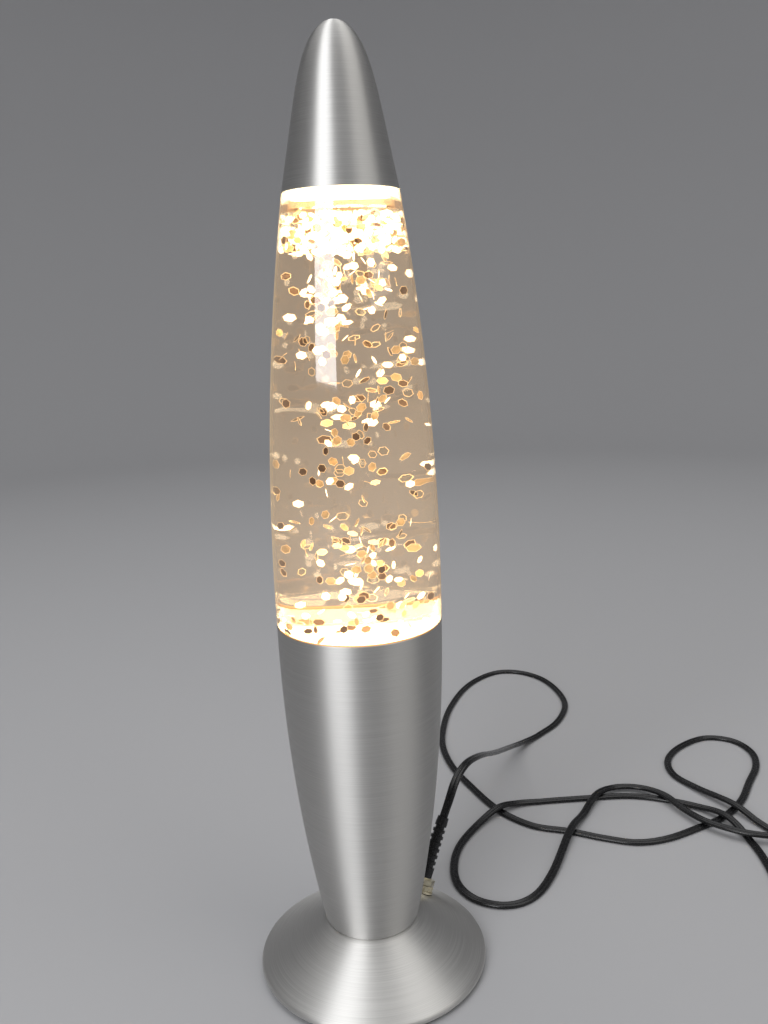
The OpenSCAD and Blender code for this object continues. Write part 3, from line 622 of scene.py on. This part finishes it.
def place_flakes(rng, held, low, high, count, apart, clumps=0, share=1.0):
    """Spots that keep flakes apart, most of them gathered in clumps where there are any."""
    middles = [any_spot(rng, low, high, COLUMN) for _ in range(clumps)]
    found = []
    for _ in range(count * TRIES):
        p = any_spot(rng, low, high, share)
        if middles and rng.random() < CLUMPED:
            p = rng.choice(middles) + Vector([rng.gauss(0, CLUMP_R) for _ in range(3)])
        inside = low < p.z < high and math.hypot(p.x, p.y) < flake_reach(p.z)
        if inside and len(found) < count and all((p - q).length > apart for q in held):
            held.append(p)
            found.append(p)
    return found


def flake_shape(rng, centre, tilt, verts, faces, picks):
    """A hexagon plate with a narrow bright border, gold in colour with a painted glint."""
    out = Vector((rng.gauss(0, 1), rng.gauss(0, 1), rng.gauss(0, tilt))).normalized()
    side = out.orthogonal().normalized()
    turned = Matrix.Rotation(rng.uniform(0, math.pi), 3, out)
    side = turned @ side
    across = out.cross(side)
    size = FLAKE_R * rng.uniform(SMALLEST, LARGEST)
    first = len(verts)
    rows = ((-1, BORDER), (-1, 1.0), (1, 1.0), (1, BORDER))
    for face, share in rows:
        for k in range(CORNERS):
            a = 2 * math.pi / CORNERS * k
            corner = side * math.cos(a) + across * math.sin(a)
            verts.append(tuple((centre + size * share * corner + out * (face * FLAKE_T / 2)) * MM))
    faces.append([first + k for k in reversed(range(CORNERS))])
    picks.append(0)
    for row in range(len(rows) - 1):
        start = first + row * CORNERS
        for k in range(CORNERS):
            n = (k + 1) % CORNERS
            faces.append([start + k, start + n, start + CORNERS + n, start + CORNERS + k])
            picks.append(1)
    faces.append([len(verts) - CORNERS + k for k in range(CORNERS)])
    picks.append(0)


def make_glitter():
    rng = random.Random(SEED)
    kinds = {"white": flake_white_glow, "gold": flake_gold_glow, "dark": flake_dark, "clear": flake_clear}
    groups = {kind: ([], [], []) for kind in kinds}
    held = []
    tail = place_flakes(rng, held, LEVEL_Z - TAIL_LOW, LEVEL_Z - TAIL_HIGH,
                        count=60, apart=2.4, share=0.5)
    drifting = place_flakes(rng, held, MOUTH_Z + DRIFT_LOW, LEVEL_Z - RAFT_H,
                            count=370, apart=2.6, clumps=56)
    settled = place_flakes(rng, held, CAVITY_Z + SETTLED_LOW, MOUTH_Z + SETTLED_HIGH,
                           count=44, apart=3.2)
    floating = place_flakes(rng, held, LEVEL_Z - RAFT_H, LEVEL_Z - SKIN_H, count=420, apart=2.0)
    # Spots, weights of the kinds near the axis and further out, and how far the flakes lie flat; the
    # white kind carries the most painted glint, so its larger share near the axis and in the floating
    # layer paints brighter light there
    mixes = (
        (tail, (64, 28, 8, 0), (64, 28, 8, 0), 0.55),
        (drifting, (34, 26, 22, 18), (24, 26, 26, 24), 0.55),
        (settled, (35, 20, 45, 0), (35, 20, 45, 0), 1.5),
        (floating, (92, 5, 3, 0), (66, 20, 14, 0), 1.0))
    for points, inner, outer, tilt in mixes:
        for p in points:
            weights = inner if math.hypot(p.x, p.y) < CORE * flake_reach(p.z) else outer
            kind = rng.choices(list(kinds), weights)[0]
            flake_shape(rng, p, tilt, *groups[kind])
    first = None
    for kind, (verts, faces, picks) in groups.items():
        made = new_object("glitter_" + kind, verts, faces, [kinds[kind], flake_edge_glow], picks)
        mesh = made.data
        mesh.polygons.foreach_set("use_smooth", [False] * len(mesh.polygons))
        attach(made, "bottle")
        first = first or made
    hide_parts("glitter_flakes")


make_glitter()

# Lead: sizes and heights in millimetres, the turns of its section in degrees
LEAD_W = 4.6
LEAD_T = 2.4
LIE = LEAD_T / 2
CROSS_GAP = 0.6
OVER = LEAD_T * 1.5 + CROSS_GAP
STRAIGHT = 8
END_BAND = 0.05
OUTLET_TURN = math.radians(44)
CONE_TURN = math.radians(57.5)
SWITCH_X = (switch_low.x + switch_high.x) / 2
SWITCH_Z = 4.2
TAIL_Y = (tail_low.y + tail_high.y) / 2
TAIL_Z = (tail_low.z + tail_high.z) / 2
ROUTE_STEPS = 8
CORE_TURN = 150
CORE_STEP = 25
LEAD_SHARP = 60.0


def boot_end():
    """Middle of the strain relief's free end, and the way it points."""
    flat = Vector((math.cos(OUTLET_TURN), math.sin(OUTLET_TURN), 0))
    way = flat * math.cos(CONE_TURN) + Vector((0, 0, math.sin(CONE_TURN)))
    points = [Vector(v.co) / MM for v in nodes["strain_relief"].data.vertices]
    last = max(p.dot(way) for p in points)
    end = [p for p in points if p.dot(way) > last - END_BAND]
    return sum(end, Vector()) / len(end), way


EXIT, EXIT_WAY = boot_end()
LAMP_ROUTE = [
    EXIT, EXIT + STRAIGHT * EXIT_WAY, (44.8, 45, 62.1), (48.8, 51.2, 65.7), (53.7, 59.1, 66.3),
    (59.6, 69.7, 63.4), (65.6, 83.8, 57.3), (71.8, 102.5, 47.9), (78.7, 124, 37.4), (86, 147, 26.6),
    (93.5, 169, 16.6), (101.7, 188.5, 8.2), (111.4, 203.2, 3.2), (123, 215.5, LIE), (140, 234, LIE),
    (152, 260, LIE), (153, 286, LIE), (146, 312, LIE), (132, 328, LIE), (114, 332, LIE),
    (96, 321, LIE), (80, 300, LIE), (66, 268, LIE), (58, 238, LIE), (54, 208, LIE), (57, 178, LIE),
    (66, 150, LIE), (79, 120, LIE), (96, 101, LIE), (116, 93, LIE), (134, 84, LIE), (151, 78, LIE),
    (169, 80, LIE), (190, 89, LIE), (209, 99, LIE), (226, 115, LIE), (240, 136, LIE), (253, 156, LIE),
    (258, 175, LIE), (252, 192, LIE), (235, 198, LIE), (214, 187, LIE), (200, 170, LIE), (197, 151, LIE),
    (205, 132, 2), (218, 108, OVER), (226, 90, 2), (234, 75, LIE), (241, 63, 2.2),
    (SWITCH_X, switch_high.y + 5, SWITCH_Z - 0.4), (SWITCH_X, switch_high.y, SWITCH_Z)]
PLUG_ROUTE = [
    (SWITCH_X, switch_low.y, SWITCH_Z), (SWITCH_X, switch_low.y - 6, SWITCH_Z - 0.6), (244, -27, 2),
    (238, -41, LIE), (224, -47, LIE), (210, -41, LIE), (204, -27, LIE), (207, 10, LIE), (213, 46, LIE),
    (214, 72, LIE), (209, 95, OVER), (197, 111, 2), (180, 122, LIE), (160, 128, LIE), (134, 128, LIE),
    (106, 127, LIE), (92, 125, 2.2), (79, 118, OVER), (65, 105, 2), (52, 86, LIE), (46, 67, LIE),
    (46, 49, LIE), (54, 35, LIE), (69, 29, LIE), (84, 35, LIE), (98, 54, 2), (116, 90, OVER),
    (128, 108, 2.8), (141, 127, OVER), (155, 136, 3), (170, 134, 3), (181, 122, OVER),
    (188, 104, 3.8), (196, 89, OVER + 0.4), (211, 76, OVER + 1), (229, 70, OVER + 0.8),
    (tail_low.x - 7, TAIL_Y + 0.5, TAIL_Z - 1), (tail_low.x, TAIL_Y, TAIL_Z)]


def smooth_route(route):
    """One smooth curve through the points of a route, nowhere under the table."""
    points = [Vector(p) for p in route]
    points = [2 * points[0] - points[1]] + points + [2 * points[-1] - points[-2]]
    line = []
    for a, b, c, d in zip(points, points[1:], points[2:], points[3:]):
        for k in range(ROUTE_STEPS):
            t = k / ROUTE_STEPS
            line.append(0.5 * (2 * b + (c - a) * t + (2 * a - 5 * b + 4 * c - d) * t * t
                               + (3 * b - a - 3 * c + d) * t ** 3))
    line.append(points[-2])
    for p in line:
        p.z = max(p.z, LIE)
    return line


def lead_section():
    """Outline of two cores side by side with a groove between them."""
    core = LEAD_T / 2
    off = LEAD_W / 2 - core
    turns = [math.radians(a) for a in range(-CORE_TURN, CORE_TURN + 1, CORE_STEP)]
    right = [(off + core * math.cos(a), core * math.sin(a)) for a in turns]
    left = [(-x, -y) for x, y in right]
    return right + left


def make_lead(name, node, route):
    line = smooth_route(route)
    section = lead_section()
    verts = []
    for i, p in enumerate(line):
        way = (line[min(i + 1, len(line) - 1)] - line[max(i - 1, 0)]).normalized()
        side = Vector((way.y, -way.x, 0)).normalized()
        above = side.cross(way)
        verts += [tuple((p + side * x + above * y) * MM) for x, y in section]
    count = len(section)
    faces = [list(range(count)), [len(verts) - 1 - k for k in range(count)]]
    for i in range(len(line) - 1):
        for k in range(count):
            n = (k + 1) % count
            faces.append([i * count + k, (i + 1) * count + k, (i + 1) * count + n, i * count + n])
    lead = new_object(name, verts, faces, [black_pvc], sharp=LEAD_SHARP)
    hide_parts(node)
    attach(lead, "stand")
    path = [p * MM for p in line]
    length = sum((b - a).length for a, b in zip(path, path[1:]))
    return lead, path, length


lamp_lead, lamp_path, lamp_length = make_lead("lamp_lead_fine", "lamp_lead", LAMP_ROUTE)
plug_lead, plug_path, plug_length = make_lead("plug_lead_fine", "plug_lead", PLUG_ROUTE)

# Looks of the pieces that keep their own solids
LOOKS = {
    "foot_ring": pad_rubber, "closing_plate": black_sheet, "centre_tube": brass,
    "tube_washers": plated_steel, "tube_nuts": plated_steel, "holder_cap": cream_plastic,
    "holder_sleeve": cream_plastic, "terminal_block": block_ceramic, "screw_shell": brass,
    "contact_spring": brass, "terminal_screws": brass, "bulb_tip": plated_steel,
    "bulb_insulator": black_glass, "bulb_base": brass, "bulb_stem": stem_glass,
    "bulb_glass_envelope": bulb_glow, "bulb_filament": filament, "bottle_closure": white_plastic,
    "closure_liner": liner_foam, "outlet_nipple": pale_brass, "outlet_washer": pale_brass,
    "outlet_nuts": pale_brass, "strain_relief": black_pvc, "live_wire": brown_pvc,
    "neutral_wire": blue_pvc, "switch_lower": black_moulding, "switch_upper": black_moulding,
    "switch_rocker": black_moulding, "switch_contacts": brass, "switch_screws": plated_steel,
    "plug_body": black_moulding, "plug_tail": black_pvc, "plug_pins": nickel,
    "plug_sleeves": black_moulding}

# Rounding of edges in millimetres from an angle in degrees, and the gap at which the bulb's points join
ROUNDED = {"switch_lower": 0.6, "switch_upper": 1.2, "switch_rocker": 0.4, "plug_body": 1.6,
           "outlet_nuts": 0.2, "tube_nuts": 0.3}
ROUNDED_FROM = 40
ROUNDED_STEPS = 3
WELD_GAP = 0.001
for node, material in LOOKS.items():
    nodes[node].data.materials.clear()
    nodes[node].data.materials.append(material)
nodes["bulb_glass_envelope"].modifiers.new("joined", "WELD").merge_threshold = WELD_GAP * MM
for node, width in ROUNDED.items():
    bevel = nodes[node].modifiers.new("rounded", "BEVEL")
    bevel.width = width * MM
    bevel.segments = ROUNDED_STEPS
    bevel.limit_method = "ANGLE"
    bevel.angle_limit = math.radians(ROUNDED_FROM)

# Stage in millimetres and degrees
STAGE_R = 1500.0
COVE_R = 800.0
COVE_FROM = -85
COVE_STEPS = 17
STAGE_H = 3000.0


def make_stage():
    paper = new_material("studio_paper", (0.42, 0.42, 0.43), 0.0, 0.9)
    line = [(0, 0), (STAGE_R, 0)]
    line += turn_line((STAGE_R, COVE_R), COVE_R, COVE_FROM, 0, COVE_STEPS)
    line += [(STAGE_R + COVE_R, STAGE_H)]
    lathe("studio_floor", line, [paper])


# Lights: places and sizes in metres, power in watts
AIM = (0.0, 0.0, 0.2)
WORLD_COLOR = (0.62, 0.63, 0.66, 1)
WORLD_STRENGTH = 0.26


def add_light(name, place, wide, tall, power, color):
    data = bpy.data.lights.new(name, "AREA")
    data.shape = "RECTANGLE"
    data.size = wide
    data.size_y = tall
    data.energy = power
    data.color = color
    light = bpy.data.objects.new(name, data)
    light.location = place
    light.rotation_mode = "QUATERNION"
    light.rotation_quaternion = (Vector(AIM) - Vector(place)).to_track_quat("-Z", "Y")
    bpy.context.scene.collection.objects.link(light)


def set_world():
    world = bpy.data.worlds.new("studio")
    world.use_nodes = True
    background = world.node_tree.nodes["Background"]
    background.inputs["Color"].default_value = WORLD_COLOR
    background.inputs["Strength"].default_value = WORLD_STRENGTH
    bpy.context.scene.world = world


make_stage()
add_light("key", (-0.7, -1.1, 0.8), wide=0.8, tall=0.9, power=12.0, color=(0.97, 0.98, 1.0))
add_light("fill", (1.25, -0.75, 1.2), wide=1.3, tall=1.3, power=5.0, color=(1.0, 0.98, 0.94))
add_light("overhead", (0.0, 0.1, 1.7), wide=2.4, tall=2.4, power=21.0, color=(1.0, 1.0, 1.0))
set_world()
bpy.context.scene.view_settings.view_transform = "Standard"
